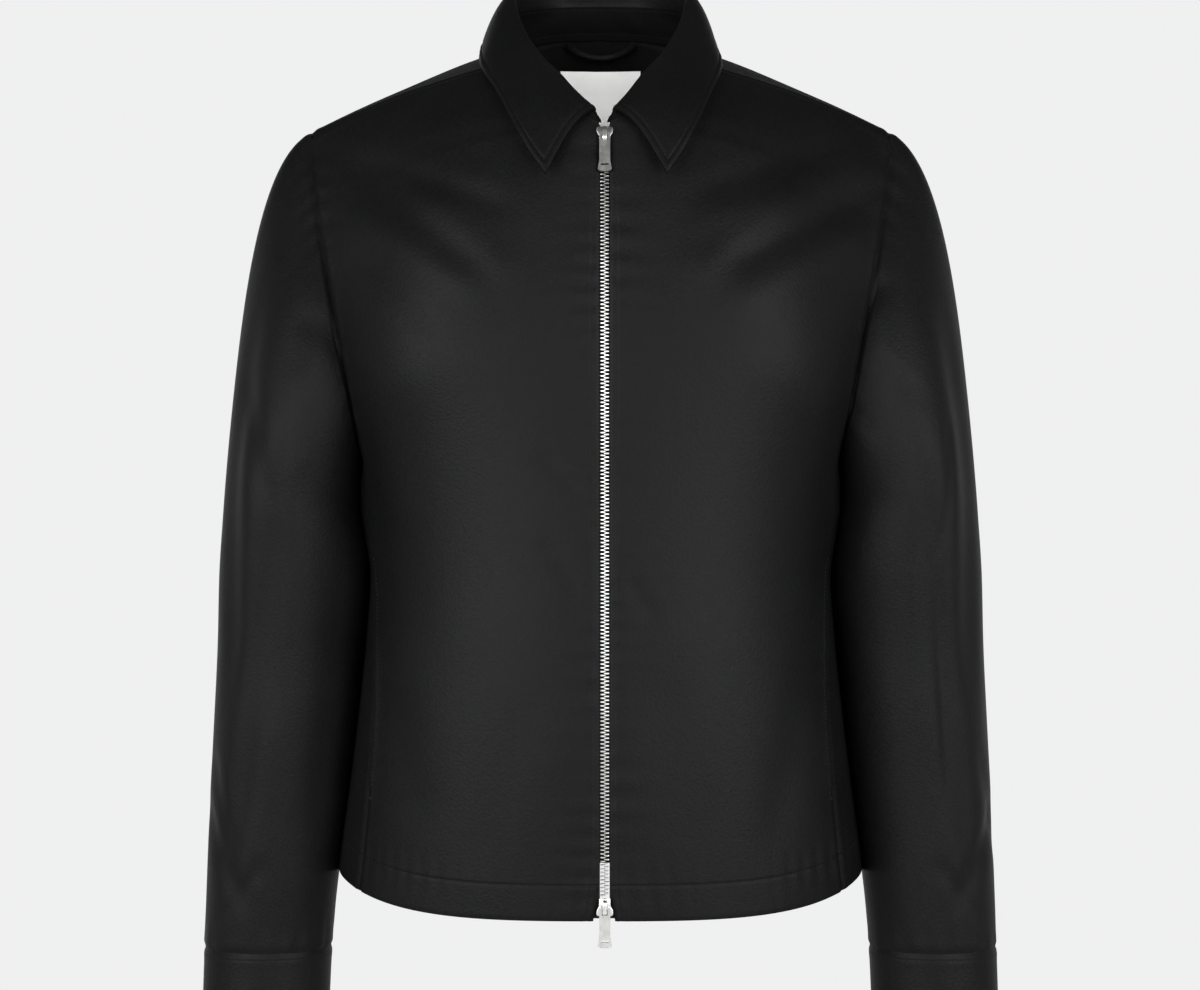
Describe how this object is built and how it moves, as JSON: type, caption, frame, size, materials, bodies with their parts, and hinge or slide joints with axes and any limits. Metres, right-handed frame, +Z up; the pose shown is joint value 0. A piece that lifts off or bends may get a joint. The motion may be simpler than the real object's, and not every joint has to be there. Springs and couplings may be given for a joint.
{
  "type": "zipped shirt jacket",
  "caption": "Filled-out shirt jacket of black cotton twill with a pointed shirt collar, full-length two-way metal zip, set-in sleeves with cuffs and side pockets.",
  "frame": {"origin": "between the wearer's shoulders, on the middle plane at the height of the side of the neck, where the jacket is held", "axes": "+Z up, -Y out of the front, +X to the viewer's right when the front is seen, so towards the wearer's left arm"},
  "size_m": [0.6, 0.268, 0.798],
  "materials": {
    "cloth": "black cotton twill with a faint satin sheen",
    "zip_tape": "matt woven tape",
    "zip_metal": "polished silver-coloured metal",
    "label": "white woven label, blank"
  },
  "bodies": {
    "jacket": {"front_left": "cloth", "front_right": "cloth", "back": "cloth", "sleeve_left": "cloth", "sleeve_right": "cloth", "cuff_left": "cloth", "cuff_right": "cloth", "collar_stand": "cloth", "collar_fall": "cloth", "pocket_facing_left": "cloth", "pocket_facing_right": "cloth", "hanger_loop": "cloth", "zip_tape_left": "zip_tape", "zip_tape_right": "zip_tape", "zip_chain": "zip_metal", "slider_top": "zip_metal", "slider_bottom": "zip_metal", "label": "label"},
    "pull_top": {"pull_top": "zip_metal"},
    "pull_bottom": {"pull_bottom": "zip_metal"}
  },
  "joints": [
    {"name": "pull_top_hinge", "type": "hinge", "parent": "jacket", "child": "pull_top", "pos_m": [0.003, -0.11271, -0.06896], "axis": [-1, 0, 0], "range_deg": [0, 150]},
    {"name": "pull_bottom_hinge", "type": "hinge", "parent": "jacket", "child": "pull_bottom", "pos_m": [0.003, -0.13901, -0.62243], "axis": [-1, 0, 0], "range_deg": [0, 165]}
  ]
}
